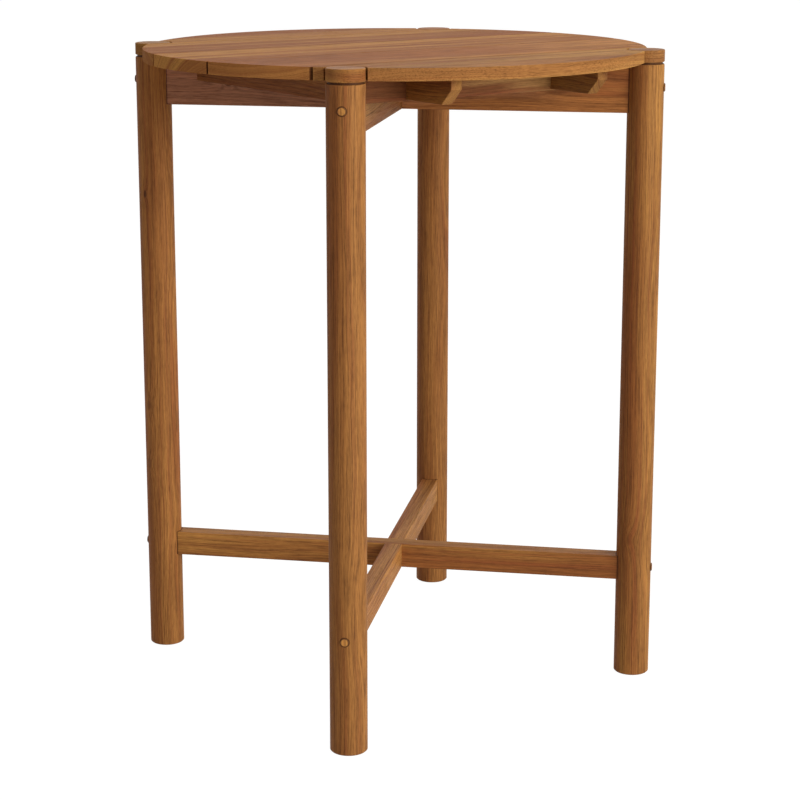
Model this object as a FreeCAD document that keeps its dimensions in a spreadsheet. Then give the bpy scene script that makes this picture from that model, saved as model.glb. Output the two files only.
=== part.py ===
import FreeCAD, Part
import Sketcher
import os

# A round bar table of hardwood. Five slats make the top, and each of the four round legs stands on
# the rim of the top, under a cap of its own. Two aprons and two stretchers cross on the diagonals
# and are bolted into the legs. Millimetres, the floor at zero, the slats along X.

doc = FreeCAD.newDocument("bar_table")

SIZES = (
    ("table_height", 1080, "floor to the face of the top"),
    ("top_diameter", 840, "rim to rim, and the circle of the leg axes"),
    ("top_thickness", 20, "slats and leg caps"),
    ("slat_gap", 3, "open joint between two slats"),
    ("slat_ease", 1, "rounding of the slats and caps"),
    ("notch_clearance", 3, "ring left open between a leg cap and its notch"),
    ("notch_wall", 5.5, "wood between a notch and the inner edge of its slat"),
    ("leg_diameter", 60, "round leg and its cap"),
    ("leg_ease", 1.5, "bevel at the foot and at the top of a leg"),
    ("shadow_gap", 3, "height of the groove under a leg cap"),
    ("shadow_inset", 3, "how far the neck in that groove is set back"),
    ("cap_dowel_diameter", 12, "dowel between a leg and its cap"),
    ("cap_dowel_rise", 13, "length of the dowel in the cap"),
    ("cap_dowel_drop", 23, "length of the dowel in the leg"),
    ("hole_spare", 1, "spare depth at the end of a blind hole"),
    ("joint_clearance", 0.1, "play each side in the wooden joints"),
    ("housing_depth", 14, "how far the aprons and stretchers go into a leg"),
    ("apron_thickness", 30, "diagonal apron, across"),
    ("apron_height", 84, "diagonal apron, upright"),
    ("stretcher_thickness", 30, "diagonal stretcher, across"),
    ("stretcher_height", 42, "diagonal stretcher, upright"),
    ("stretcher_level", 190, "floor to the middle of the stretchers"),
    ("bar_ease", 1, "rounding of aprons, stretchers, battens and rails"),
    ("batten_width", 20, "batten under the slats, across"),
    ("batten_height", 40, "batten under the slats, upright"),
    ("batten_stand_in", 76.5, "open space between a batten and the rail beside it"),
    ("batten_inset", 28, "rim to the end of a batten"),
    ("batten_end_face", 16, "upright part of a batten's end, above its bevel"),
    ("rail_set_in", 8.5, "inner edge of an outer slat to the outer face of the rail beside it"),
    ("rail_thickness", 20, "rail, across"),
    ("rail_height", 42, "rail, upright"),
    ("rail_housing", 5, "how far a rail goes into an apron's face"),
    ("plug_diameter", 14, "wooden plug over a bolt, and its counterbore"),
    ("plug_proud", 2, "how far a plug stands out of its leg"),
    ("plug_bevel", 1.2, "bevel round a plug's face"),
    ("counterbore_depth", 20, "outside of the leg to the washer's seat"),
    ("bolt_diameter", 6, "connector bolt"),
    ("bolt_length", 65, "connector bolt under its head"),
    ("bolt_head_diameter", 10, "connector bolt's head"),
    ("bolt_head_height", 6, "connector bolt's head"),
    ("bolt_socket", 2.9, "hexagon socket, middle to corner"),
    ("bolt_socket_depth", 3, "hexagon socket"),
    ("bolt_clearance", 0.3, "play round a bolt in wood and washer"),
    ("thread_clearance", 0.05, "play round a thread"),
    ("washer_diameter", 12.4, "washer under a bolt's head"),
    ("washer_thickness", 1.6, "washer under a bolt's head"),
    ("nut_diameter", 10, "barrel nut, across its axis"),
    ("nut_length", 16, "barrel nut, along its axis"),
    ("nut_set_in", 30, "end of the bar to the middle of its barrel nut"),
    ("screw_diameter", 4, "wood screw"),
    ("screw_head_diameter", 8, "wood screw's head"),
    ("screw_head_height", 3, "wood screw's head"),
    ("screw_point", 4, "tapered end of a wood screw"),
    ("screw_bite", 13, "how far a screw goes into a slat"),
    ("screw_seat", 14, "wood between a screw's head and the slat"),
    ("lap_screw_length", 32, "screw through a batten's lap, under its head"),
    ("counterbore_clearance", 0.5, "play round a screw's head"),
    ("overrun", 5, "how far a cutting shape runs past a face"),
)
SLAT_COUNT = 5
LEG_COUNT = 4
FULL_TURN = 360
HALF_CORNER = FULL_TURN / LEG_COUNT / 2
SOCKET_SIDE_COUNT = 6

UP = FreeCAD.Vector(0, 0, 1)
OUTWARD = FreeCAD.Vector(1, 0, 0)

sizes = doc.addObject("Spreadsheet::Sheet", "sizes")
for row, (alias, value, note) in enumerate(SIZES, start=1):
    sizes.set("A%d" % row, alias)
    sizes.set("B%d" % row, str(value))
    sizes.setAlias("B%d" % row, alias)
    sizes.set("C%d" % row, note)
doc.recompute()

# Levels and places that several pieces share, as formulas of the driving sizes.
underside = "(sizes.table_height - sizes.top_thickness)"
rim = "(sizes.top_diameter / 2)"
leg_radius = "(sizes.leg_diameter / 2)"
leg_offset = f"({rim} / sqrt(2))"
notch_radius = f"({leg_radius} + sizes.notch_clearance)"
outer_slat_edge = f"({leg_offset} - {notch_radius} - sizes.notch_wall)"
slat_width = f"((2 * {outer_slat_edge} - {SLAT_COUNT - 1} * sizes.slat_gap) / {SLAT_COUNT - 2})"
slat_pitch = f"({slat_width} + sizes.slat_gap)"
housing_floor = f"({leg_radius} - sizes.housing_depth)"
bar_half_length = f"({rim} - {housing_floor} - sizes.joint_clearance)"
apron_level = f"({underside} - sizes.apron_height / 2)"
apron_slant = "(sizes.apron_thickness / sqrt(2))"
rail_outer_face = f"({outer_slat_edge} - sizes.rail_set_in)"
rail_line = f"({rail_outer_face} - sizes.rail_thickness / 2)"
rail_inner_face = f"({rail_outer_face} - sizes.rail_thickness)"
batten_line = f"({rail_inner_face} - sizes.batten_stand_in - sizes.batten_width / 2)"
batten_half_length = f"(sqrt({rim} ^ 2 - {batten_line} ^ 2) - sizes.batten_inset)"
batten_bevel = "(sizes.batten_height - sizes.batten_end_face)"
lap_level = f"({underside} - sizes.batten_height / 2)"
nut_line = f"({bar_half_length} - sizes.nut_set_in)"
washer_seat = f"({rim} + {leg_radius} - sizes.counterbore_depth)"
head_seat = f"({washer_seat} + sizes.washer_thickness)"
bolt_tip = f"({head_seat} - sizes.bolt_length)"
bolt_hole_radius = "(sizes.bolt_diameter / 2 + sizes.bolt_clearance)"
screw_hole_radius = "(sizes.screw_diameter / 2 + sizes.thread_clearance)"
head_hole_radius = "(sizes.screw_head_diameter / 2 + sizes.counterbore_clearance)"

# Rows of screws: on a batten between its laps, on a rail beside its laps.
lap_outer_side = f"({batten_line} + sizes.batten_width / 2)"
inner_screw_row = f"(({lap_outer_side} + {apron_slant} + {rail_inner_face}) / 2)"
outer_screw_row = f"(({rail_outer_face} + {batten_half_length} - {batten_bevel}) / 2)"
rail_screw_row = f"(({lap_outer_side} + {rail_inner_face} - {apron_slant}) / 2)"

pieces = []


def times(sign, formula):
    """The formula, or its mirror image where the sign is negative."""
    return f"({sign} * {formula})"


def number(formula):
    """The value that a formula has now, for a sketch's first drawing."""
    return float(sizes.evalExpression(formula))


def start_piece(label, turn=0, place=("0", "0")):
    """A new piece, turned about the upright axis and set at its place in plan."""
    body = doc.addObject("PartDesign::Body", label)
    body.Label = label
    body.Placement = FreeCAD.Placement(FreeCAD.Vector(), FreeCAD.Rotation(UP, turn))
    for axis, formula in zip("xy", place):
        body.setExpression("Placement.Base." + axis, formula)
    pieces.append(body)
    return body


def origin_part(body, role):
    """A plane or an axis of the piece's own origin."""
    for feature in body.Origin.OriginFeatures:
        if feature.Role == role:
            return feature
    raise ValueError(role)


def draw(body, plane, points, lift):
    """A closed outline of straight lines on one of the piece's planes."""
    sketch = body.newObject("Sketcher::SketchObject", "outline")
    sketch.AttachmentSupport = [(origin_part(body, plane), "")]
    sketch.MapMode = "FlatFace"
    lifted = "z" if plane == "XY_Plane" else "y"
    sketch.setExpression("AttachmentOffset.Base." + lifted, lift)
    corners = [FreeCAD.Vector(number(across), number(along), 0) for across, along in points]
    for index, corner in enumerate(corners):
        sketch.addGeometry(Part.LineSegment(corner, corners[(index + 1) % len(corners)]), False)
    for index in range(len(corners)):
        following = (index + 1) % len(corners)
        sketch.addConstraint(Sketcher.Constraint("Coincident", index, 2, following, 1))
    for index, point in enumerate(points):
        for kind, axis, formula in zip(("DistanceX", "DistanceY"), (-2, -1), point):
            if formula == "0":
                sketch.addConstraint(Sketcher.Constraint("PointOnObject", index, 1, axis))
                continue
            rule = Sketcher.Constraint(kind, -1, 1, index, 1, number(formula))
            sketch.setExpression("Constraints[%d]" % sketch.addConstraint(rule), formula)
    return sketch


def oblong(low_x, low_y, high_x, high_y):
    """The four corners of an upright rectangle."""
    return ((low_x, low_y), (high_x, low_y), (high_x, high_y), (low_x, high_y))


def raise_outline(body, points, base, height):
    """Wood of the outline's shape, from a level upwards."""
    pad = body.newObject("PartDesign::Pad", "blank")
    pad.Profile = draw(body, "XY_Plane", points, base)
    pad.setExpression("Length", height)
    return pad


def cut_outline(body, points, top, depth):
    """An opening of the outline's shape, from a level downwards."""
    pocket = body.newObject("PartDesign::Pocket", "cut")
    pocket.Profile = draw(body, "XY_Plane", points, top)
    pocket.setExpression("Length", depth)
    return pocket


def turn_outline(body, points, axis, lift="0"):
    """A turned form: the outline is in the piece's upright plane, and spins about its own axis."""
    revolution = body.newObject("PartDesign::Revolution", "turned")
    sketch = draw(body, "XZ_Plane", points, lift)
    revolution.Profile = sketch
    revolution.ReferenceAxis = (sketch, [axis])
    revolution.Angle = FULL_TURN
    return revolution


def add_rod(body, start, direction, radius, length, kind="Additive"):
    """A round rod, or with kind Subtractive a round hole, from a point along a direction."""
    rod = body.newObject("PartDesign::%sCylinder" % kind, "rod")
    rod.Placement = FreeCAD.Placement(FreeCAD.Vector(), FreeCAD.Rotation(UP, direction))
    for axis, formula in zip("xyz", start):
        rod.setExpression("Placement.Base." + axis, formula)
    rod.setExpression("Radius", radius)
    rod.setExpression("Height", length)
    return rod


def bore(body, start, direction, radius, length):
    """A round hole from a point along a direction."""
    return add_rod(body, start, direction, radius, length, "Subtractive")


def ease_edges(body, radius):
    """All the sharp edges that the piece has so far are rounded."""
    doc.recompute()
    shaped = body.Tip
    fillet = body.newObject("PartDesign::Fillet", "eased")
    fillet.Base = (shaped, ["Edge1"])
    fillet.UseAllEdges = True
    fillet.setExpression("Radius", radius)


def spread_round(body, feature):
    """The same feature at each of the four legs."""
    pattern = body.newObject("PartDesign::PolarPattern", "round_the_legs")
    pattern.Originals = [feature]
    pattern.Axis = (origin_part(body, "Z_Axis"), [""])
    pattern.Angle = FULL_TURN
    pattern.Occurrences = LEG_COUNT
    body.Tip = pattern


def quarter_turn(quarter, distance):
    """The direction out to one of the four legs, and the place at a distance along it."""
    angle = 2 * HALF_CORNER * quarter
    direction = FreeCAD.Rotation(UP, angle).multVec(OUTWARD)
    return direction, (f"({distance} * cos({angle}))", f"({distance} * sin({angle}))")


def batten_screw_places(slat):
    """Where a slat is screwed to the battens: the middle slat is 0, the outer ones -2 and 2."""
    row = {0: "0", 1: inner_screw_row, 2: outer_screw_row}[abs(slat)]
    along = times(1 if slat > 0 else -1, row)
    return [(times(side, batten_line), along) for side in (-1, 1)]


def rail_screw_places(slat):
    """Where a slat is screwed to the rails, which don't reach the outer slats."""
    if abs(slat) == SLAT_COUNT // 2:
        return []
    places = [(times(side, rail_line), times(slat, slat_pitch)) for side in (-1, 1)]
    if slat:
        places += [(times(step, rail_screw_row), times(slat, rail_line)) for step in (-1, 0, 1)]
    return places


# Five slats, cut out of one round top, with a gap between each two. The outer two are notched
# round for the leg caps, and the screws come up into all of them from below.
slats = range(-(SLAT_COUNT // 2), SLAT_COUNT // 2 + 1)
for slat in slats:
    body = start_piece("top_slat_%d" % (slat + SLAT_COUNT // 2 + 1))
    add_rod(body, ("0", "0", underside), UP, rim, "sizes.top_thickness")
    for side in (-1, 1):
        if slat * side == SLAT_COUNT // 2:
            continue
        edge = f"({slat} * {slat_pitch} + {side} * {slat_width} / 2)"
        beyond = f"({rim} + sizes.overrun)"
        low, high = (times(-1, beyond), edge) if side < 0 else (edge, beyond)
        waste = oblong(times(-1, beyond), low, beyond, high)
        cut_outline(body, waste, f"({underside} + sizes.top_thickness + sizes.overrun)",
                    "(sizes.top_thickness + 2 * sizes.overrun)")
    if abs(slat) == SLAT_COUNT // 2:
        for side in (-1, 1):
            along = times(1 if slat > 0 else -1, leg_offset)
            start = (times(side, leg_offset), along, f"({underside} - sizes.overrun)")
            bore(body, start, UP, notch_radius, "(sizes.top_thickness + 2 * sizes.overrun)")
    ease_edges(body, "sizes.slat_ease")
    for across, along in batten_screw_places(slat) + rail_screw_places(slat):
        bore(body, (across, along, f"({underside} - sizes.overrun)"), UP, screw_hole_radius,
             "(sizes.overrun + sizes.screw_bite + sizes.hole_spare)")

# Round legs, turned in one piece with the set-back neck under the cap. In a leg's own frame X
# points away from the middle of the table, and the aprons and stretchers come in from behind.
LEG_NAMES = ("front_left", "front_right", "back_right", "back_left")


def leg_turn(quarter):
    """The direction of a leg from the middle of the table, in degrees: the legs are on diagonals."""
    return (2 * quarter + 1 - LEG_COUNT) * HALF_CORNER


def leg_place(quarter):
    """A leg's axis in plan, on the rim."""
    return (f"({rim} * cos({leg_turn(quarter)}))", f"({rim} * sin({leg_turn(quarter)}))")


for quarter, name in enumerate(LEG_NAMES):
    body = start_piece("leg_" + name, leg_turn(quarter), leg_place(quarter))
    shoulder = f"({underside} - sizes.shadow_gap)"
    bevelled = f"({leg_radius} - sizes.leg_ease)"
    neck = f"({leg_radius} - sizes.shadow_inset)"
    turn_outline(body, (
        ("0", "0"),
        (bevelled, "0"),
        (leg_radius, "sizes.leg_ease"),
        (leg_radius, f"({shoulder} - sizes.leg_ease)"),
        (bevelled, shoulder),
        (neck, shoulder),
        (neck, underside),
        ("0", underside),
    ), "V_Axis")
    inside = f"({leg_radius} + sizes.overrun)"
    for thickness, top, depth in (
        ("sizes.apron_thickness", f"({underside} + sizes.overrun)",
         "(sizes.apron_height + sizes.overrun)"),
        ("sizes.stretcher_thickness",
         "(sizes.stretcher_level + sizes.stretcher_height / 2 + sizes.joint_clearance)",
         "(sizes.stretcher_height + sizes.joint_clearance)"),
    ):
        half = f"({thickness} / 2 + sizes.joint_clearance)"
        mortise = oblong(times(-1, inside), times(-1, half), times(-1, housing_floor), half)
        cut_outline(body, mortise, top, depth)
    for level in (apron_level, "sizes.stretcher_level"):
        bore(body, (times(-1, inside), "0", level), OUTWARD, bolt_hole_radius,
             f"({inside} + {leg_radius})")
        bore(body, (f"({leg_radius} - sizes.counterbore_depth)", "0", level), OUTWARD,
             "(sizes.plug_diameter / 2 + sizes.joint_clearance)",
             "(sizes.counterbore_depth + sizes.overrun)")
    bore(body, ("0", "0", f"({underside} - sizes.cap_dowel_drop - sizes.hole_spare)"), UP,
         "(sizes.cap_dowel_diameter / 2 + sizes.joint_clearance)",
         "(sizes.cap_dowel_drop + sizes.hole_spare + sizes.overrun)")

# Caps, as thick as the slats and flush with them, each on a dowel in the top of its leg.
for quarter, name in enumerate(LEG_NAMES):
    body = start_piece("leg_cap_" + name, 0, leg_place(quarter))
    low = f"({underside} + sizes.slat_ease)"
    high = "(sizes.table_height - sizes.slat_ease)"
    bevelled = f"({leg_radius} - sizes.slat_ease)"
    turn_outline(body, (
        ("0", underside),
        (bevelled, underside),
        (leg_radius, low),
        (leg_radius, high),
        (bevelled, "sizes.table_height"),
        ("0", "sizes.table_height"),
    ), "V_Axis")
    bore(body, ("0", "0", f"({underside} - sizes.overrun)"), UP,
         "(sizes.cap_dowel_diameter / 2 + sizes.joint_clearance)",
         "(sizes.overrun + sizes.cap_dowel_rise + sizes.hole_spare)")

body = start_piece("cap_dowels", HALF_CORNER)
dowel = add_rod(body, (rim, "0", f"({underside} - sizes.cap_dowel_drop)"), UP,
                "(sizes.cap_dowel_diameter / 2)", "(sizes.cap_dowel_drop + sizes.cap_dowel_rise)")
spread_round(body, dowel)


def crossbar(label, turn, thickness, height, level, passes_over):
    """A bar from leg to leg on a diagonal, halved at the middle where it crosses the other one."""
    body = start_piece(label, turn)
    half = f"({thickness} / 2)"
    bottom = f"({level} - {height} / 2)"
    ends = oblong(times(-1, bar_half_length), times(-1, half), bar_half_length, half)
    raise_outline(body, ends, bottom, height)
    ease_edges(body, "sizes.bar_ease")
    lap = f"({half} + sizes.joint_clearance)"
    beyond = f"({half} + sizes.overrun)"
    crossing = oblong(times(-1, lap), times(-1, beyond), lap, beyond)
    top = level if passes_over else f"({level} + {height} / 2 + sizes.overrun)"
    cut_outline(body, crossing, top, f"({height} / 2 + sizes.overrun)")
    hole_start = f"({bolt_tip} - sizes.hole_spare)"
    hole_length = f"({bar_half_length} - {hole_start} + sizes.overrun)"
    for side in (-1, 1):
        bore(body, (times(side, hole_start), "0", level), side * OUTWARD, bolt_hole_radius, hole_length)
        bore(body, (times(side, nut_line), "0", f"({bottom} - sizes.overrun)"), UP,
             "(sizes.nut_diameter / 2 + sizes.joint_clearance)",
             f"({height} / 2 + sizes.overrun + sizes.nut_length / 2)")
    return body


# Aprons under the slats. The battens lie in notches in their upper edge, and the rails in shallow
# housings in their faces. Both cross an apron at half a right angle.
for label, passes_over in (("apron_under", False), ("apron_over", True)):
    slope = -1 if passes_over else 1
    body = crossbar(label, slope * HALF_CORNER, "sizes.apron_thickness", "sizes.apron_height",
                    apron_level, passes_over)
    face = "(sizes.apron_thickness / 2)"
    beyond = f"({face} + sizes.overrun)"
    over_top = f"({underside} + sizes.overrun)"
    batten_half = "((sizes.batten_width / 2 + sizes.joint_clearance) * sqrt(2))"
    rail_half = "((sizes.rail_thickness / 2 + sizes.joint_clearance) * sqrt(2))"
    for end in (-1, 1):
        middle = f"({end} * {batten_line} * sqrt(2))"
        near = f"({middle} - {slope} * {beyond})"
        far = f"({middle} + {slope} * {beyond})"
        cut_outline(body, (
            (f"({near} - {batten_half})", times(-1, beyond)),
            (f"({near} + {batten_half})", times(-1, beyond)),
            (f"({far} + {batten_half})", beyond),
            (f"({far} - {batten_half})", beyond),
        ), over_top, "(sizes.batten_height / 2 + sizes.overrun)")
        bore(body, (middle, "0", f"({underside} - sizes.lap_screw_length - sizes.screw_head_height"
                    " - sizes.hole_spare)"), UP, screw_hole_radius, "sizes.lap_screw_length")
        for side in (-1, 1):
            floor = f"({face} - sizes.rail_housing)"
            outer = f"({end} * ({rail_line} * sqrt(2) - {beyond}))"
            inner = f"({end} * ({rail_line} * sqrt(2) - {floor}))"
            cut_outline(body, (
                (f"({outer} - {rail_half})", times(side, beyond)),
                (f"({outer} + {rail_half})", times(side, beyond)),
                (f"({inner} + {rail_half})", times(side, floor)),
                (f"({inner} - {rail_half})", times(side, floor)),
            ), over_top, "(sizes.rail_height + sizes.overrun)")

# Stretchers near the floor, which tie the legs together the same way.
for label, passes_over in (("stretcher_under", False), ("stretcher_over", True)):
    crossbar(label, (-1 if passes_over else 1) * HALF_CORNER, "sizes.stretcher_thickness",
             "sizes.stretcher_height", "sizes.stretcher_level", passes_over)

# Four rails between the aprons, in a square ring. The front and back ones are notched for the
# battens. A rail is drawn as the front one, with both ends mitred against the aprons, and turned.
for quarter, label in enumerate(("rail_front", "rail_right", "rail_back", "rail_left")):
    body = start_piece(label, quarter * 2 * HALF_CORNER)
    set_back = ("((sizes.apron_thickness / 2 - sizes.rail_housing + sizes.joint_clearance)"
                " * sqrt(2))")
    long_end = f"({rail_outer_face} - {set_back})"
    short_end = f"({rail_inner_face} - {set_back})"
    raise_outline(body, (
        (times(-1, long_end), times(-1, rail_outer_face)),
        (long_end, times(-1, rail_outer_face)),
        (short_end, times(-1, rail_inner_face)),
        (times(-1, short_end), times(-1, rail_inner_face)),
    ), f"({underside} - sizes.rail_height)", "sizes.rail_height")
    ease_edges(body, "sizes.bar_ease")
    seat_depth = "(sizes.rail_height - sizes.screw_seat + sizes.overrun)"
    bottom = f"({underside} - sizes.rail_height - sizes.overrun)"
    if quarter % 2:
        spots = [times(step, slat_pitch) for step in (-1, 0, 1)]
    else:
        spots = [times(step, rail_screw_row) for step in (-1, 0, 1)]
        for side in (-1, 1):
            half = "(sizes.batten_width / 2 + sizes.joint_clearance)"
            low = f"({side} * {batten_line} - {half})"
            high = f"({side} * {batten_line} + {half})"
            notch = oblong(low, f"(-{rail_outer_face} - sizes.overrun)", high,
                           f"(-{rail_inner_face} + sizes.overrun)")
            cut_outline(body, notch, f"({underside} + sizes.overrun)",
                        "(sizes.batten_height / 2 + sizes.overrun)")
            bore(body, (times(side, batten_line), times(-1, rail_line),
                        f"({underside} - sizes.lap_screw_length - sizes.screw_head_height"
                        " - sizes.hole_spare)"), UP, screw_hole_radius, "sizes.lap_screw_length")
    for spot in spots:
        place = (spot, times(-1, rail_line))
        bore(body, (*place, bottom), UP, head_hole_radius, seat_depth)
        bore(body, (*place, bottom), UP, screw_hole_radius,
             "(sizes.rail_height + 2 * sizes.overrun)")

# Battens across the slats, bevelled at both ends and halved over the aprons and rails.
for label, side in (("batten_left", -1), ("batten_right", 1)):
    body = start_piece(label, 0, (times(side, batten_line), "0"))
    blank = body.newObject("PartDesign::Pad", "blank")
    low_end = f"({batten_half_length} - {batten_bevel})"
    bottom = f"({underside} - sizes.batten_height)"
    bevel_top = f"({underside} - sizes.batten_end_face)"
    blank.Profile = draw(body, "YZ_Plane", (
        (times(-1, low_end), bottom),
        (low_end, bottom),
        (batten_half_length, bevel_top),
        (batten_half_length, underside),
        (times(-1, batten_half_length), underside),
        (times(-1, batten_half_length), bevel_top),
    ), "0")
    blank.Midplane = True
    blank.setExpression("Length", "sizes.batten_width")
    ease_edges(body, "sizes.bar_ease")
    half = "(sizes.batten_width / 2)"
    beyond = f"({half} + sizes.overrun)"
    apron_half = "((sizes.apron_thickness / 2 + sizes.joint_clearance) * sqrt(2))"
    for end in (-1, 1):
        slope = side * end
        middle = times(end, batten_line)
        near = f"({middle} - {slope} * {beyond})"
        far = f"({middle} + {slope} * {beyond})"
        cut_outline(body, (
            (times(-1, beyond), f"({near} - {apron_half})"),
            (beyond, f"({far} - {apron_half})"),
            (beyond, f"({far} + {apron_half})"),
            (times(-1, beyond), f"({near} + {apron_half})"),
        ), lap_level, "(sizes.batten_height / 2 + sizes.overrun)")
        rail_half = "(sizes.rail_thickness / 2 + sizes.joint_clearance)"
        notch = oblong(times(-1, beyond), f"({end} * {rail_line} - {rail_half})", beyond,
                       f"({end} * {rail_line} + {rail_half})")
        cut_outline(body, notch, lap_level, "(sizes.batten_height / 2 + sizes.overrun)")
        for place in (middle, times(end, rail_line)):
            bore(body, ("0", place, f"({lap_level} - sizes.overrun)"), UP, screw_hole_radius,
                 "(sizes.batten_height / 2 + 2 * sizes.overrun)")
            bore(body, ("0", place, f"({underside} - sizes.screw_head_height)"), UP,
                 head_hole_radius, "(sizes.screw_head_height + sizes.overrun)")
    for slat in slats:
        place = ("0", batten_screw_places(slat)[0][1])
        bore(body, (*place, f"({bottom} - sizes.overrun)"), UP, head_hole_radius,
             "(sizes.batten_height - sizes.screw_seat + sizes.overrun)")
        bore(body, (*place, f"({bottom} - sizes.overrun)"), UP, screw_hole_radius,
             "(sizes.batten_height + 2 * sizes.overrun)")

# Bolts, washers, barrel nuts and plugs, four of each at the height of the aprons and four at the
# height of the stretchers. They are drawn on the X axis and turned on to the diagonals.
for row, level in (("upper", apron_level), ("lower", "sizes.stretcher_level")):
    body = start_piece(row + "_bolts", HALF_CORNER)
    shank = "(sizes.bolt_diameter / 2)"
    head = "(sizes.bolt_head_diameter / 2)"
    head_top = f"({head_seat} + sizes.bolt_head_height)"
    bolt = turn_outline(body, (
        (bolt_tip, "0"),
        (bolt_tip, shank),
        (head_seat, shank),
        (head_seat, head),
        (head_top, head),
        (head_top, "0"),
    ), "H_Axis", level)
    spread_round(body, bolt)
    for quarter in range(LEG_COUNT):
        direction, (across, along) = quarter_turn(quarter, f"({head_top} - sizes.bolt_socket_depth)")
        socket = body.newObject("PartDesign::SubtractivePrism", "socket")
        socket.Placement = FreeCAD.Placement(FreeCAD.Vector(), FreeCAD.Rotation(UP, direction))
        socket.Polygon = SOCKET_SIDE_COUNT
        socket.setExpression("Circumradius", "sizes.bolt_socket")
        socket.setExpression("Height", "(sizes.bolt_socket_depth + sizes.overrun)")
        for axis, formula in zip("xyz", (across, along, level)):
            socket.setExpression("Placement.Base." + axis, formula)

    body = start_piece(row + "_washers", HALF_CORNER)
    washer = turn_outline(body, oblong(washer_seat, bolt_hole_radius, head_seat,
                                       "(sizes.washer_diameter / 2)"), "H_Axis", level)
    spread_round(body, washer)

    body = start_piece(row + "_barrel_nuts", HALF_CORNER)
    nut = add_rod(body, (nut_line, "0", f"({level} - sizes.nut_length / 2)"), UP,
                  "(sizes.nut_diameter / 2)", "sizes.nut_length")
    spread_round(body, nut)
    for quarter in range(LEG_COUNT):
        direction, place = quarter_turn(quarter, f"({nut_line} - sizes.nut_diameter)")
        bore(body, (*place, level), direction, "(sizes.bolt_diameter / 2 + sizes.thread_clearance)",
             "(2 * sizes.nut_diameter)")

    body = start_piece(row + "_plugs", HALF_CORNER)
    outer = f"({rim} + {leg_radius} + sizes.plug_proud)"
    edge = "(sizes.plug_diameter / 2)"
    plug = turn_outline(body, (
        (head_top, "0"),
        (head_top, edge),
        (f"({outer} - sizes.plug_bevel)", edge),
        (outer, f"({edge} - sizes.plug_bevel)"),
        (outer, "0"),
    ), "H_Axis", level)
    spread_round(body, plug)


def add_screw(body, place, tip, point, shank, direction):
    """A wood screw: its point, its shank and its head, from the tip level along a direction."""
    sign = int(direction.z)
    radius = "(sizes.screw_diameter / 2)"
    taper = body.newObject("PartDesign::AdditiveCone", "point")
    taper.Placement = FreeCAD.Placement(FreeCAD.Vector(), FreeCAD.Rotation(UP, direction))
    for axis, formula in zip("xyz", (*place, tip)):
        taper.setExpression("Placement.Base." + axis, formula)
    taper.Radius1 = 0
    taper.setExpression("Radius2", radius)
    taper.setExpression("Height", point)
    add_rod(body, (*place, f"({tip} + {sign} * {point})"), direction, radius, f"({shank} - {point})")
    add_rod(body, (*place, f"({tip} + {sign} * {shank})"), direction,
            "(sizes.screw_head_diameter / 2)", "sizes.screw_head_height")


# Screws up through the battens and rails into the slats, and screws down through the laps.
slat_tip = f"({underside} + sizes.screw_bite)"
slat_shank = "(sizes.screw_bite + sizes.screw_seat)"
for label, places in (("batten_screws", batten_screw_places), ("rail_screws", rail_screw_places)):
    body = start_piece(label)
    for slat in slats:
        for place in places(slat):
            add_screw(body, place, slat_tip, "sizes.screw_point", slat_shank, -UP)

body = start_piece("lap_screws")
lap_tip = f"({underside} - sizes.screw_head_height - sizes.lap_screw_length)"
for side in (-1, 1):
    for end in (-1, 1):
        for row in (batten_line, rail_line):
            add_screw(body, (times(side, batten_line), times(end, row)), lap_tip,
                      "sizes.screw_point", "sizes.lap_screw_length", UP)

# The finished model is tested before any file is written.
doc.recompute()
for item in doc.Objects:
    if "Invalid" in item.State or "Error" in item.State:
        raise RuntimeError("failed: %s %s" % (item.Name, item.State))
for piece in pieces:
    if piece.Shape.isNull() or not piece.Shape.isValid() or not piece.Shape.Solids:
        raise RuntimeError("no valid solid: " + piece.Label)

os.makedirs("parts", exist_ok=True)
for piece in pieces:
    piece.Shape.exportStep("parts/%s.step" % piece.Label)
    print(piece.Label, len(piece.Shape.Solids), round(piece.Shape.Volume))
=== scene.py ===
import math
import bmesh
import bpy
from mathutils import Euler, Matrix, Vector


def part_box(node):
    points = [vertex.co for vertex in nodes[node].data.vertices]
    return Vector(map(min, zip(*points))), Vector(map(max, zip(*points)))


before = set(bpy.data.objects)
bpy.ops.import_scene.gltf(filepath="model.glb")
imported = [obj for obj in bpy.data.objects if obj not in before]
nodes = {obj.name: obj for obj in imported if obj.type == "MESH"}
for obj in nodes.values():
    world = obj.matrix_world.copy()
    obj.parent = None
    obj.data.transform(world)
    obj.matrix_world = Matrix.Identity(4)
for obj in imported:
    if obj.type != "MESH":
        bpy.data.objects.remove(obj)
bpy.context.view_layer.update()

# The round top: five slats of an oiled brown hardwood, flat sawn from different boards, laid with
# open joints and cut round together. Each is screwed from below to the battens and rails, and its
# arrises are taken off with sandpaper.


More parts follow.
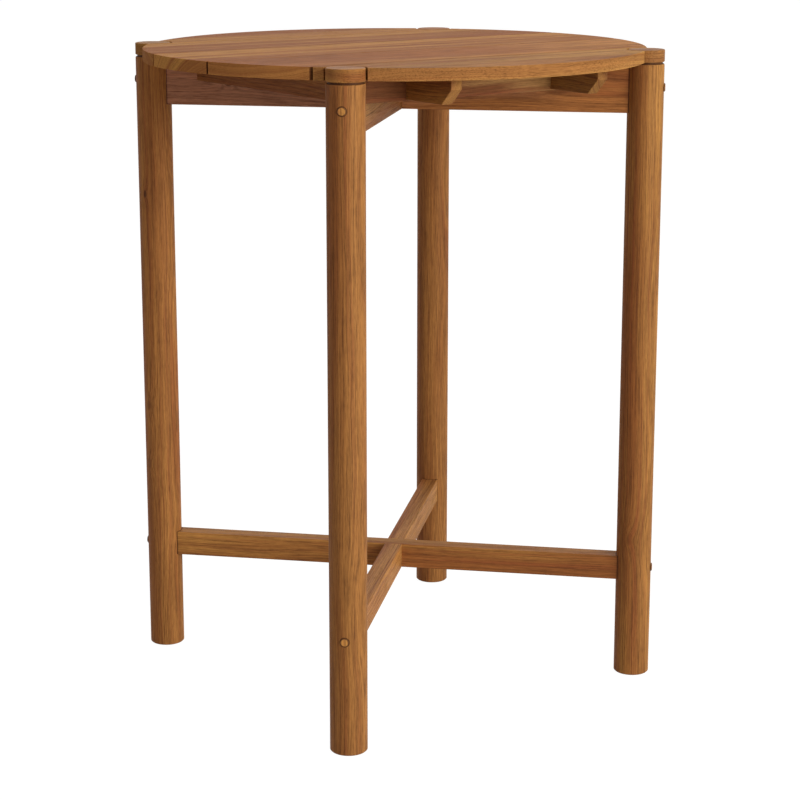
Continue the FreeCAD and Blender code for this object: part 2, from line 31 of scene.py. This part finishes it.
class Tone:
    """Something that changes through a material. Sums and products of tones add their own nodes."""

    def __init__(self, tree, socket=None):
        self.tree = tree
        self.socket = socket

    def node(self, kind, settings, sockets, output=0):
        """One more node: its settings come first, then the values and links of its sockets."""
        made = self.tree.nodes.new(kind)
        for name, value in settings.items():
            setattr(made, name, value)
        for name, value in sockets.items():
            if isinstance(value, Tone):
                self.tree.links.new(value.socket, made.inputs[name])
            else:
                made.inputs[name].default_value = value
        if not made.outputs:
            return self
        if isinstance(output, tuple):
            return [Tone(self.tree, made.outputs[name]) for name in output]
        return Tone(self.tree, made.outputs[output])

    def sum_of(self, operation, first, second=0.0):
        return self.node("ShaderNodeMath", {"operation": operation}, {0: first, 1: second})

    def __add__(self, other):
        return self.sum_of("ADD", self, other)

    def __sub__(self, other):
        return self.sum_of("SUBTRACT", self, other)

    def __rsub__(self, other):
        return self.sum_of("SUBTRACT", other, self)

    def __mul__(self, other):
        return self.sum_of("MULTIPLY", self, other)

    def __truediv__(self, other):
        return self.sum_of("DIVIDE", self, other)

    def __rtruediv__(self, other):
        return self.sum_of("DIVIDE", other, self)

    def __pow__(self, other):
        return self.sum_of("POWER", self, other)

    def __abs__(self):
        return self.sum_of("ABSOLUTE", self)

    __radd__ = __add__
    __rmul__ = __mul__


def bare(material):
    """A material with no nodes yet, as a tone to build on."""
    material.use_nodes = True
    material.node_tree.nodes.clear()
    return Tone(material.node_tree)


def noise(place, detail=2.0, roughness=0.5, scale=1.0):
    return place.node("ShaderNodeTexNoise", {}, {
        "Vector": place, "Scale": scale, "Detail": detail, "Roughness": roughness})


def between(value, low, high):
    """0 below low, 1 above high, with a soft slope from one to the other."""
    return value.node("ShaderNodeMapRange", {"interpolation_type": "SMOOTHSTEP"}, {
        "Value": value, "From Min": low, "From Max": high})


def blend(factor, first, second):
    """The first colour, turning into the second one where the factor is 1."""
    return factor.node("ShaderNodeMix", {"data_type": "RGBA"}, {0: factor, 6: first, 7: second}, 2)


def together(first, second, third):
    return first.node("ShaderNodeCombineXYZ", {}, {0: first, 1: second, 2: third})


def apart(point):
    """The three distances of a point, each as a tone of its own."""
    return point.node("ShaderNodeSeparateXYZ", {}, {"Vector": point}, (0, 1, 2))


def lesser(first, second):
    return first.sum_of("MINIMUM", first, second)


def greater(first, second):
    return first.sum_of("MAXIMUM", first, second)


def likeness(first, second):
    """1 where two directions are the same, and 0 where they are square to each other."""
    return first.node("ShaderNodeVectorMath", {"operation": "DOT_PRODUCT"}, {
        0: first, 1: second}, 1)


def shaded(colour, amount):
    return (*(channel * amount for channel in colour), 1.0)


def lines(along, layer, stretch, fineness, seed, roughness=0.6):
    """Lines that follow the layers of the tree, by their turns in a metre along and across them."""
    return noise(together(along * stretch, layer * fineness, seed), detail=3.0,
                 roughness=roughness)


def flecks(along, across, through, stretch, fineness, detail=2.0, roughness=0.5):
    """Short marks that lie with the grain, by their turns in a metre along and across it."""
    return noise(together(along * stretch, across * fineness, through * fineness),
                 detail, roughness)


GOLDEN = (0.560, 0.258, 0.063)
BROWN = (0.360, 0.128, 0.034)
RUSSET = (0.310, 0.082, 0.028)
DEEP = (0.070, 0.022, 0.009)
STRAW = (0.540, 0.290, 0.100)

RINGS_IN_A_METRE = 210.0
RING_DRIFT = 2.0
LATE_WOOD_SHARPNESS = 5.0
RIPPLE_HEIGHT = 0.0024
PORE_BEND = 0.02
PALING_IN_A_METRE = 4.0

KNOT_SLANT = 0.55
KNOT_CORE = 0.35
KNOT_EDGE = 1.1
KNOT_SWELL = 1.6
KNOT_REACH = 0.35

RUSSET_SHARE = 0.5
VEIN_DEPTH = 0.27
PORE_DEPTH = 0.25
LATE_WOOD_DEPTH = 0.07
FIBRE_DEPTH = 0.20
MOTTLE_DEPTH = 0.05
END_GRAIN_CALM = 0.3
END_GRAIN_STRAW = 0.2
# Lightness of the knot cores and of the painted shade, and how strongly the painted shade darkens.
KNOT_AND_PAINTED_SHADE_TONE = 0.7
PAINTED_SHADE_STRENGTH = 0.85

ARRIS_RADIUS = 0.003
ARRIS_WEAR = 0.16
WORN_SHADE = 1.15

GRAIN_RELIEF = 0.0006
GRAIN_STRENGTH = 0.28
FIBRE_RISE = 0.4
VEIN_RISE = 0.3
PORE_FALL = 0.4

OILED_ROUGHNESS = 0.52
PORE_ROUGHNESS = 0.12
END_GRAIN_ROUGHNESS = 0.14
BAND_ROUGHNESS = 0.10


def hardwood(name, middle, lie, heart, cut, amount=1.0, knots=(), pale=GOLDEN, brown=BROWN,
             painted_shade=None, sheen=0.12, drift=0.0, broad=34.0, waviness=0.026):
    """Oiled hardwood of one piece. The grain runs along its own X, which lie turns from the
    world's. heart is how far the middle of the tree is from the piece's own middle, and cut is
    where along the tree the piece was taken, so that no two pieces have the same figure. amount is
    how light the piece is as a whole. Each knot is a point of the table with the size of its core
    and how dark it is, and the grain flows round it. The wood turns from brown to pale away from
    the heart, and with drift also from one end of the piece to the other, which on some pieces is
    partly painted light and shade. The mask after brown is painted shade, dark where shade falls
    in joints, gaps and corners between parts, and sheen is its gloss. broad is how often the broad
    bands turn in a metre across the layers, and waviness is how far, in metres, the layers wander."""
    material = bpy.data.materials.new(name)
    wood = bare(material)
    where = wood.node("ShaderNodeTexCoord", {}, {}, "Object")
    turned = wood.node("ShaderNodeMapping", {"vector_type": "TEXTURE"}, {
        "Vector": where, "Location": middle, "Rotation": lie})
    along, across, through = apart(turned)
    table_to_piece = Euler(lie).to_matrix().transposed()
    core = None
    bulge = None
    for point, size, depth in knots:
        knot = table_to_piece @ (Vector(point) - Vector(middle))
        away = (((along - knot.x) * KNOT_SLANT) ** 2.0 + (across - knot.y) ** 2.0
                + (through - knot.z) ** 2.0)
        dark = (1.0 - between(away, (KNOT_CORE * size) ** 2, (KNOT_EDGE * size) ** 2)) * depth
        swell = size ** 3 * KNOT_SWELL / (away * KNOT_REACH + size ** 2)
        core = dark if core is None else greater(core, dark)
        bulge = swell if bulge is None else bulge + swell

    paling = along * drift
    along = along + cut
    wander = flecks(along, across, through, stretch=2.4, fineness=6.0)
    ripple = flecks(along, across, through, stretch=9.0, fineness=45.0)
    from_heart = ((across - heart[0]) ** 2.0 + (through - heart[1]) ** 2.0) ** 0.5
    paling = paling + (from_heart - math.hypot(*heart)) * PALING_IN_A_METRE
    layer = from_heart + wander * waviness + ripple * RIPPLE_HEIGHT
    bent = across + wander * PORE_BEND
    if bulge is not None:
        layer = layer + bulge
        bent = bent + bulge
    band = lines(along, layer, stretch=1.1, fineness=broad, seed=3.1)
    flush = lines(along, layer, stretch=1.4, fineness=150.0, seed=12.9)
    vein = lines(along, layer, stretch=3.2, fineness=700.0, seed=7.7, roughness=0.65)
    pore = flecks(along, bent, through, stretch=13.0, fineness=680.0, detail=3.0, roughness=0.6)
    fibre = flecks(along, across, through, stretch=75.0, fineness=900.0, detail=3.0,
                   roughness=0.6)
    mottle = flecks(along, across, through, stretch=30.0, fineness=50.0)
    late = wood.sum_of("FRACT", layer * RINGS_IN_A_METRE + band * RING_DRIFT) ** LATE_WOOD_SHARPNESS
    pores = between(pore, low=0.48, high=0.60)

    facing = wood.node("ShaderNodeNewGeometry", {}, {}, "Normal")
    grain_way = tuple(table_to_piece[0])
    end_grain = between(abs(likeness(facing, grain_way)), low=0.55, high=0.95)
    eased = wood.node("ShaderNodeBevel", {"samples": 4}, {"Radius": ARRIS_RADIUS}, "Normal")
    arris = 1.0 - between(likeness(facing, eased), low=0.80, high=0.985)

    darkening = (between(vein, low=0.43, high=0.60) * VEIN_DEPTH
                 + pores * PORE_DEPTH
                 + late * LATE_WOOD_DEPTH
                 + between(fibre, low=0.40, high=0.64) * FIBRE_DEPTH
                 + between(mottle, low=0.34, high=0.68) * MOTTLE_DEPTH)
    darkening = darkening * (1.0 - end_grain * END_GRAIN_CALM)
    colour = blend(between(band - paling, low=0.34, high=0.64), shaded(pale, amount),
                   shaded(brown, amount))
    colour = blend(between(flush, low=0.50, high=0.68) * RUSSET_SHARE, colour,
                   shaded(RUSSET, amount))
    colour = blend(end_grain * END_GRAIN_STRAW, colour, shaded(STRAW, amount))
    colour = blend(darkening, colour, shaded(DEEP, amount))
    if core is not None:
        colour = blend(core, colour, shaded(DEEP, KNOT_AND_PAINTED_SHADE_TONE * amount))
    colour = blend(arris * ARRIS_WEAR, colour, shaded(pale, WORN_SHADE * amount))
    # Painted shade: the mask darkens the colour where shade falls in joints, gaps and corners
    # between parts.
    if painted_shade is not None:
        colour = blend(painted_shade(where) * PAINTED_SHADE_STRENGTH, colour, shaded(DEEP, KNOT_AND_PAINTED_SHADE_TONE * amount))

    relief = wood.node("ShaderNodeBump", {}, {
        "Strength": GRAIN_STRENGTH, "Distance": GRAIN_RELIEF,
        "Height": fibre * FIBRE_RISE + vein * VEIN_RISE - pores * PORE_FALL})
    roughness = (pores * PORE_ROUGHNESS + end_grain * END_GRAIN_ROUGHNESS
                 + band * BAND_ROUGHNESS + OILED_ROUGHNESS)
    surface = wood.node("ShaderNodeBsdfPrincipled", {}, {
        "Base Color": colour, "Roughness": roughness, "Specular IOR Level": sheen,
        "Normal": relief})
    wood.node("ShaderNodeOutputMaterial", {}, {"Surface": surface})
    return material


def finish(name, material):
    """The node keeps its shape and takes this material all over."""
    nodes[name].data.materials.clear()
    nodes[name].data.materials.append(material)


def middle_of(name):
    low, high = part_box(name)
    return tuple((low + high) / 2)


# The joints behind the middle of the top. The two in front of it mirror them.
SLAT_JOINTS = tuple(
    (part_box("top_slat_%d" % number)[1][1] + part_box("top_slat_%d" % (number + 1))[0][1]) / 2
    for number in (3, 4))
HALF_JOINT = SLAT_JOINTS[0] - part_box("top_slat_3")[1][1]
JOINT_SHADE_REACH = 0.0006


def painted_joint_shade(where):
    """Painted shade, dark in the open joints, up to the arrises beside them."""
    _, y, _ = apart(where)
    off = lesser(*(abs(abs(y) - joint) for joint in SLAT_JOINTS))
    return 1.0 - between(off, HALF_JOINT, HALF_JOINT + JOINT_SHADE_REACH)


ALONG_X = (0.0, 0.0, 0.0)
SLAT_SHEEN = 0.024
SLAT_BANDS = 62.0
SLAT_WAVINESS = 0.010
AMBER = (0.535, 0.231, 0.060)
STRAWY = (0.630, 0.314, 0.084)
TAWNY = (0.440, 0.190, 0.056)
# Of each board: heart, cut, amount, pale, brown and drift.
SLAT_BOARDS = (
    ((-0.060, -0.360), 1.3, 1.02, STRAWY, TAWNY, 0.5),
    ((0.030, 0.420), 5.9, 1.15, AMBER, BROWN, 0.35),
    ((-0.150, -0.200), 9.4, 1.15, GOLDEN, BROWN, 0.0),
    ((-0.150, 0.220), 14.2, 1.07, GOLDEN, BROWN, 0.0),
    ((0.140, 0.200), 18.8, 1.07, GOLDEN, BROWN, 0.0),
)
for number, (heart, cut, amount, pale, brown, drift) in enumerate(SLAT_BOARDS, start=1):
    slat = "top_slat_%d" % number
    finish(slat, hardwood("top_wood_%d" % number, middle_of(slat), ALONG_X, heart, cut, amount,
                          pale=pale, brown=brown, painted_shade=painted_joint_shade, sheen=SLAT_SHEEN,
                          drift=drift, broad=SLAT_BANDS, waviness=SLAT_WAVINESS))

# Four round legs, each turned from one length of square stock, with the grain upright. The plugs
# over its bolts are oiled with it. A dark ring round them and the neck under the cap are painted
# shade.

UPRIGHT = -math.pi / 2
PLUG_LEVELS = (1.018, 0.190)
RING_DARK = 0.0074
RING_END = 0.0086
NECK_START = 1.0560
NECK_DARK = 1.0568


def off_plug(where):
    """How far a point on a leg or plug is from the middle line of the nearest plug."""
    x, y, z = apart(where)
    sideways = lesser(abs(x - y), abs(x + y)) * math.sqrt(0.5)
    up = lesser(*(abs(z - level) for level in PLUG_LEVELS))
    return (sideways ** 2.0 + up ** 2.0) ** 0.5


def painted_shade_on_leg(where):
    """Painted shade: the dark ring round each plug, and the neck in the gap under the cap."""
    _, _, z = apart(where)
    ring = 1.0 - between(off_plug(where), RING_DARK, RING_END)
    return greater(ring, between(z, NECK_START, NECK_DARK))


# Each leg is turned so that its darker heart side lies on its shaded side: the wood's own tone,
# placed there as painted shade.
# Of each leg: heart, cut, amount, how far it is turned on its own axis, pale and knots.
LEG_STOCK = {
    "front_left": ((0.046, 0.030), 2.1, 0.88, -0.15, AMBER, ()),
    "front_right": ((-0.052, 0.024), 6.6, 0.93, 4.27, GOLDEN, (
        ((0.2713, -0.3125, 0.247), 0.007, 0.15),)),
    "back_right": ((0.040, -0.044), 11.2, 0.93, 1.53, AMBER, ()),
    "back_left": ((-0.034, -0.050), 15.7, 1.04, 2.9, AMBER, (
        ((-0.3251, 0.2865, 0.822), 0.0042, 0.7),
        ((-0.3262, 0.2900, 0.446), 0.006, 0.35),
        ((-0.3267, 0.2928, 0.339), 0.006, 0.35))),
}
for corner, (heart, cut, amount, turn, pale, knots) in LEG_STOCK.items():
    leg = "leg_" + corner
    x, y, _ = middle_of(leg)
    finish(leg, hardwood("leg_wood_" + corner, (x, y, 0.0), (0.0, UPRIGHT, turn), heart, cut,
                         amount, knots, pale, painted_shade=painted_shade_on_leg))

# The round caps that carry the legs up through the top: each is cut from a board as thick as the
# slats, so its grain lies level, and a dowel of a paler wood pins it on its leg.

CAP_SHEEN = 0.08
# Of each cap: heart, cut, amount, pale and brown.
CAP_BOARDS = {
    "front_left": ((0.040, -0.600), 84.3, 0.95, GOLDEN, BROWN),
    "front_right": ((-0.060, 0.560), 88.9, 0.88, STRAWY, TAWNY),
    "back_right": ((0.050, 0.580), 92.6, 0.98, GOLDEN, BROWN),
    "back_left": ((-0.045, -0.560), 96.9, 0.74, GOLDEN, BROWN),
}
for corner, (heart, cut, amount, pale, brown) in CAP_BOARDS.items():
    cap = "leg_cap_" + corner
    finish(cap, hardwood("cap_wood_" + corner, middle_of(cap), ALONG_X, heart, cut, amount,
                         pale=pale, brown=brown, sheen=CAP_SHEEN))

TABLE_MIDDLE = (0.0, 0.0, 0.0)
BEECH = (0.56, 0.40, 0.23)
DARK_BEECH = shaded(BEECH, 0.8)[:3]
finish("cap_dowels", hardwood("dowel_wood", TABLE_MIDDLE, (0.0, UPRIGHT, 0.0),
                              heart=(0.6, 0.2), cut=3.0, pale=BEECH, brown=DARK_BEECH))

# Two aprons under the slats and two stretchers near the floor, each a planed bar from leg to leg
# on a diagonal. They are halved over each other in the middle and bolted into the legs.

LEG_PLACE = 0.297
SHOULDER_DARK = 0.0306
SHOULDER_END = 0.0324


def painted_shoulder_shade(where):
    """Painted shade, dark where a bar runs into a leg."""
    x, y, _ = apart(where)
    off = ((abs(x) - LEG_PLACE) ** 2.0 + (abs(y) - LEG_PLACE) ** 2.0) ** 0.5
    return 1.0 - between(off, SHOULDER_DARK, SHOULDER_END)


DIAGONAL = math.pi / 4
RUDDY = (0.505, 0.196, 0.055)
DUSKY = (0.570, 0.260, 0.146)
# Of each bar: name, turn, heart, cut, amount, knots, pale, brown and drift.
BARS = (
    # The lower apron's low amount is partly its own tone, partly painted shade from the top above
    # it.
    ("apron_under", DIAGONAL, (0.045, -0.050), 22.5, 0.80, (), GOLDEN, BROWN, 0.0),
    # The upper apron pales towards its front right end: partly the board's own tone, partly painted
    # light where the lamp reaches it under the top.
    ("apron_over", -DIAGONAL, (-0.160, 0.040), 27.1, 1.0,
     (((-0.211, 0.190, 1.013), 0.0045, 0.8),), RUDDY, DUSKY, 0.9),
    ("stretcher_under", DIAGONAL, (0.040, 0.050), 31.9, 1.10, (), GOLDEN, BROWN, 0.0),
    ("stretcher_over", -DIAGONAL, (-0.045, -0.040), 36.3, 1.0, (), GOLDEN, BROWN, -0.2),
)
for bar, turn, heart, cut, amount, knots, pale, brown, drift in BARS:
    finish(bar, hardwood("bar_wood_" + bar, middle_of(bar), (0.0, 0.0, turn), heart, cut, amount,
                         knots, pale, brown, painted_shoulder_shade, drift=drift))

# Two battens across the slats, with bevelled ends, and four rails that close a square ring between
# the aprons. They are notched over each other and hold the slats down with screws.

ACROSS = math.pi / 2
UMBER = (0.238, 0.086, 0.028)
# Of each piece: name, turn, heart, cut, amount, pale, brown and drift.
UNDERFRAME = (
    ("batten_left", ACROSS, (0.050, 0.030), 41.2, 0.84, GOLDEN, BROWN, 0.0),
    ("batten_right", ACROSS, (-0.040, 0.035), 45.8, 0.68, GOLDEN, BROWN, 0.0),
    # The front rail darkens towards its left end: painted shade, where shade falls beside the left
    # batten.
    ("rail_front", 0.0, (0.045, -0.140), 50.3, 1.10, STRAW, UMBER, 2.0),
    ("rail_back", 0.0, (-0.050, 0.040), 55.1, 0.92, GOLDEN, BROWN, 0.0),
    ("rail_left", ACROSS, (0.040, -0.050), 59.6, 0.90, GOLDEN, BROWN, 0.0),
    ("rail_right", ACROSS, (-0.045, -0.030), 64.4, 0.90, GOLDEN, BROWN, 0.0),
)
for piece, turn, heart, cut, amount, pale, brown, drift in UNDERFRAME:
    finish(piece, hardwood("underframe_wood_" + piece, middle_of(piece), (0.0, 0.0, turn), heart,
                           cut, amount, pale=pale, brown=brown, drift=drift))

# Eight plugs of the same wood, cut across the grain and tapped in over the bolts, with their faces
# bevelled and left a little proud of the leg.

RIM_START = 0.0048
RIM_DARK = 0.0064
PLUG_LIGHTNESS = 1.35


def painted_shade_on_plug(where):
    """Painted shade, dark towards the rim of the plug, where it sits in the leg."""
    return between(off_plug(where), RIM_START, RIM_DARK)


for row, cut in (("upper", 70.2), ("lower", 75.6)):
    finish(row + "_plugs", hardwood("plug_wood_" + row, TABLE_MIDDLE, (0.0, UPRIGHT, 0.0),
                                    heart=(0.9, 0.3), cut=cut, amount=PLUG_LIGHTNESS,
                                    painted_shade=painted_shade_on_plug))

# The hardware: connector bolts, washers, barrel nuts and wood screws of zinc plated steel, dulled
# by the plating bath and a little stained where they were driven.

ZINC = (0.60, 0.61, 0.62)
TARNISHED_SHADE = 0.62
CLEAN_ROUGHNESS = 0.24
TARNISH_ROUGHNESS = 0.2
SCRATCH_ROUGHNESS = 0.15
plating = bpy.data.materials.new("zinc_steel")
steel = bare(plating)
place = steel.node("ShaderNodeTexCoord", {}, {}, "Object")
cloud = noise(place, detail=3.0, scale=260.0)
scratch = noise(place, detail=2.0, scale=1900.0)
tarnish = between(cloud, low=0.48, high=0.72)
relief = steel.node("ShaderNodeBump", {}, {
    "Strength": 0.15, "Distance": 0.0002, "Height": scratch + cloud})
metal = steel.node("ShaderNodeBsdfPrincipled", {}, {
    "Base Color": blend(tarnish, shaded(ZINC, 1.0), shaded(ZINC, TARNISHED_SHADE)),
    "Metallic": 1.0,
    "Roughness": tarnish * TARNISH_ROUGHNESS + scratch * SCRATCH_ROUGHNESS + CLEAN_ROUGHNESS,
    "Normal": relief})
steel.node("ShaderNodeOutputMaterial", {}, {"Surface": metal})
for row in ("upper", "lower"):
    for kind in ("bolts", "washers", "barrel_nuts"):
        finish("%s_%s" % (row, kind), plating)
for screws in ("batten_screws", "rail_screws", "lap_screws"):
    finish(screws, plating)

# The room: a plain pale floor, one large soft lamp at the front right with two weak ones above and
# behind, and the camera of the photograph, a little above the height of the top.

WHITE = (1.0, 1.0, 1.0, 1.0)


def seen_directly(tone):
    """1 for what the camera sees, also in a reflection or through something clear."""
    camera, glossy, clear = tone.node("ShaderNodeLightPath", {}, {}, (
        "Is Camera Ray", "Is Glossy Ray", "Is Transmission Ray"))
    return greater(camera, greater(glossy, clear))


HALF_FLOOR = 60.0
FLOOR_PAINT = (0.62, 0.59, 0.56, 1.0)
FLOOR_WHITE = 1.21
FLOOR_WHITE_SHARE = 0.8
boards = bmesh.new()
bmesh.ops.create_grid(boards, x_segments=1, y_segments=1, size=HALF_FLOOR)
floor_mesh = bpy.data.meshes.new("floor")
boards.to_mesh(floor_mesh)
boards.free()
floor = bpy.data.objects.new("floor", floor_mesh)
bpy.context.scene.collection.objects.link(floor)
paint = bpy.data.materials.new("pale_floor")
painted = bare(paint)
matt = painted.node("ShaderNodeBsdfDiffuse", {}, {"Color": FLOOR_PAINT})
lit = painted.node("ShaderNodeEmission", {}, {"Color": WHITE, "Strength": FLOOR_WHITE})
coat = painted.node("ShaderNodeMixShader", {}, {
    0: seen_directly(painted) * FLOOR_WHITE_SHARE, 1: matt, 2: lit})
painted.node("ShaderNodeOutputMaterial", {}, {"Surface": coat})
floor_mesh.materials.append(paint)

WARM_AIR = (1.0, 0.95, 0.91, 1.0)
AIR_STRENGTH = 0.37
world = bpy.data.worlds.new("studio")
air = bare(world)
soft = air.node("ShaderNodeBackground", {}, {"Color": WARM_AIR, "Strength": AIR_STRENGTH})
white = air.node("ShaderNodeBackground", {}, {"Color": WHITE, "Strength": 1.0})
sky = air.node("ShaderNodeMixShader", {}, {0: seen_directly(air), 1: soft, 2: white})
air.node("ShaderNodeOutputWorld", {}, {"Surface": sky})
bpy.context.scene.world = world

AIM_HEIGHT = 0.55


def soft_box(name, bearing, height, distance, side, power):
    """A square lamp that looks at the middle of the table. Its bearing and height are degrees."""
    lamp = bpy.data.lights.new(name, "AREA")
    lamp.shape = "SQUARE"
    lamp.size = side
    lamp.energy = power
    holder = bpy.data.objects.new(name, lamp)
    turn, rise = math.radians(bearing), math.radians(height)
    back = (math.sin(turn) * math.cos(rise), -math.cos(turn) * math.cos(rise), math.sin(rise))
    holder.location = (back[0] * distance, back[1] * distance, back[2] * distance + AIM_HEIGHT)
    holder.rotation_euler = (math.pi / 2 - rise, 0.0, turn)
    bpy.context.scene.collection.objects.link(holder)


soft_box("key", bearing=13.0, height=15.0, distance=8.0, side=4.4, power=495.0)
soft_box("overhead", bearing=0.0, height=78.0, distance=3.0, side=2.0, power=9.0)
soft_box("back", bearing=145.0, height=40.0, distance=6.0, side=3.0, power=74.0)

CAMERA_PLACE = (-2.0059, -2.8655, 1.3537)
CAMERA_DIP = 12.444
CAMERA_BEARING = 35.024
lens = bpy.data.cameras.new("camera")
lens.lens = 93.32
lens.shift_x = 0.0052
lens.shift_y = -0.08
camera = bpy.data.objects.new("camera", lens)
camera.location = CAMERA_PLACE
camera.rotation_euler = (math.radians(90.0 - CAMERA_DIP), 0.0, math.radians(-CAMERA_BEARING))
bpy.context.scene.collection.objects.link(camera)
bpy.context.scene.camera = camera
bpy.context.scene.view_settings.view_transform = "Standard"
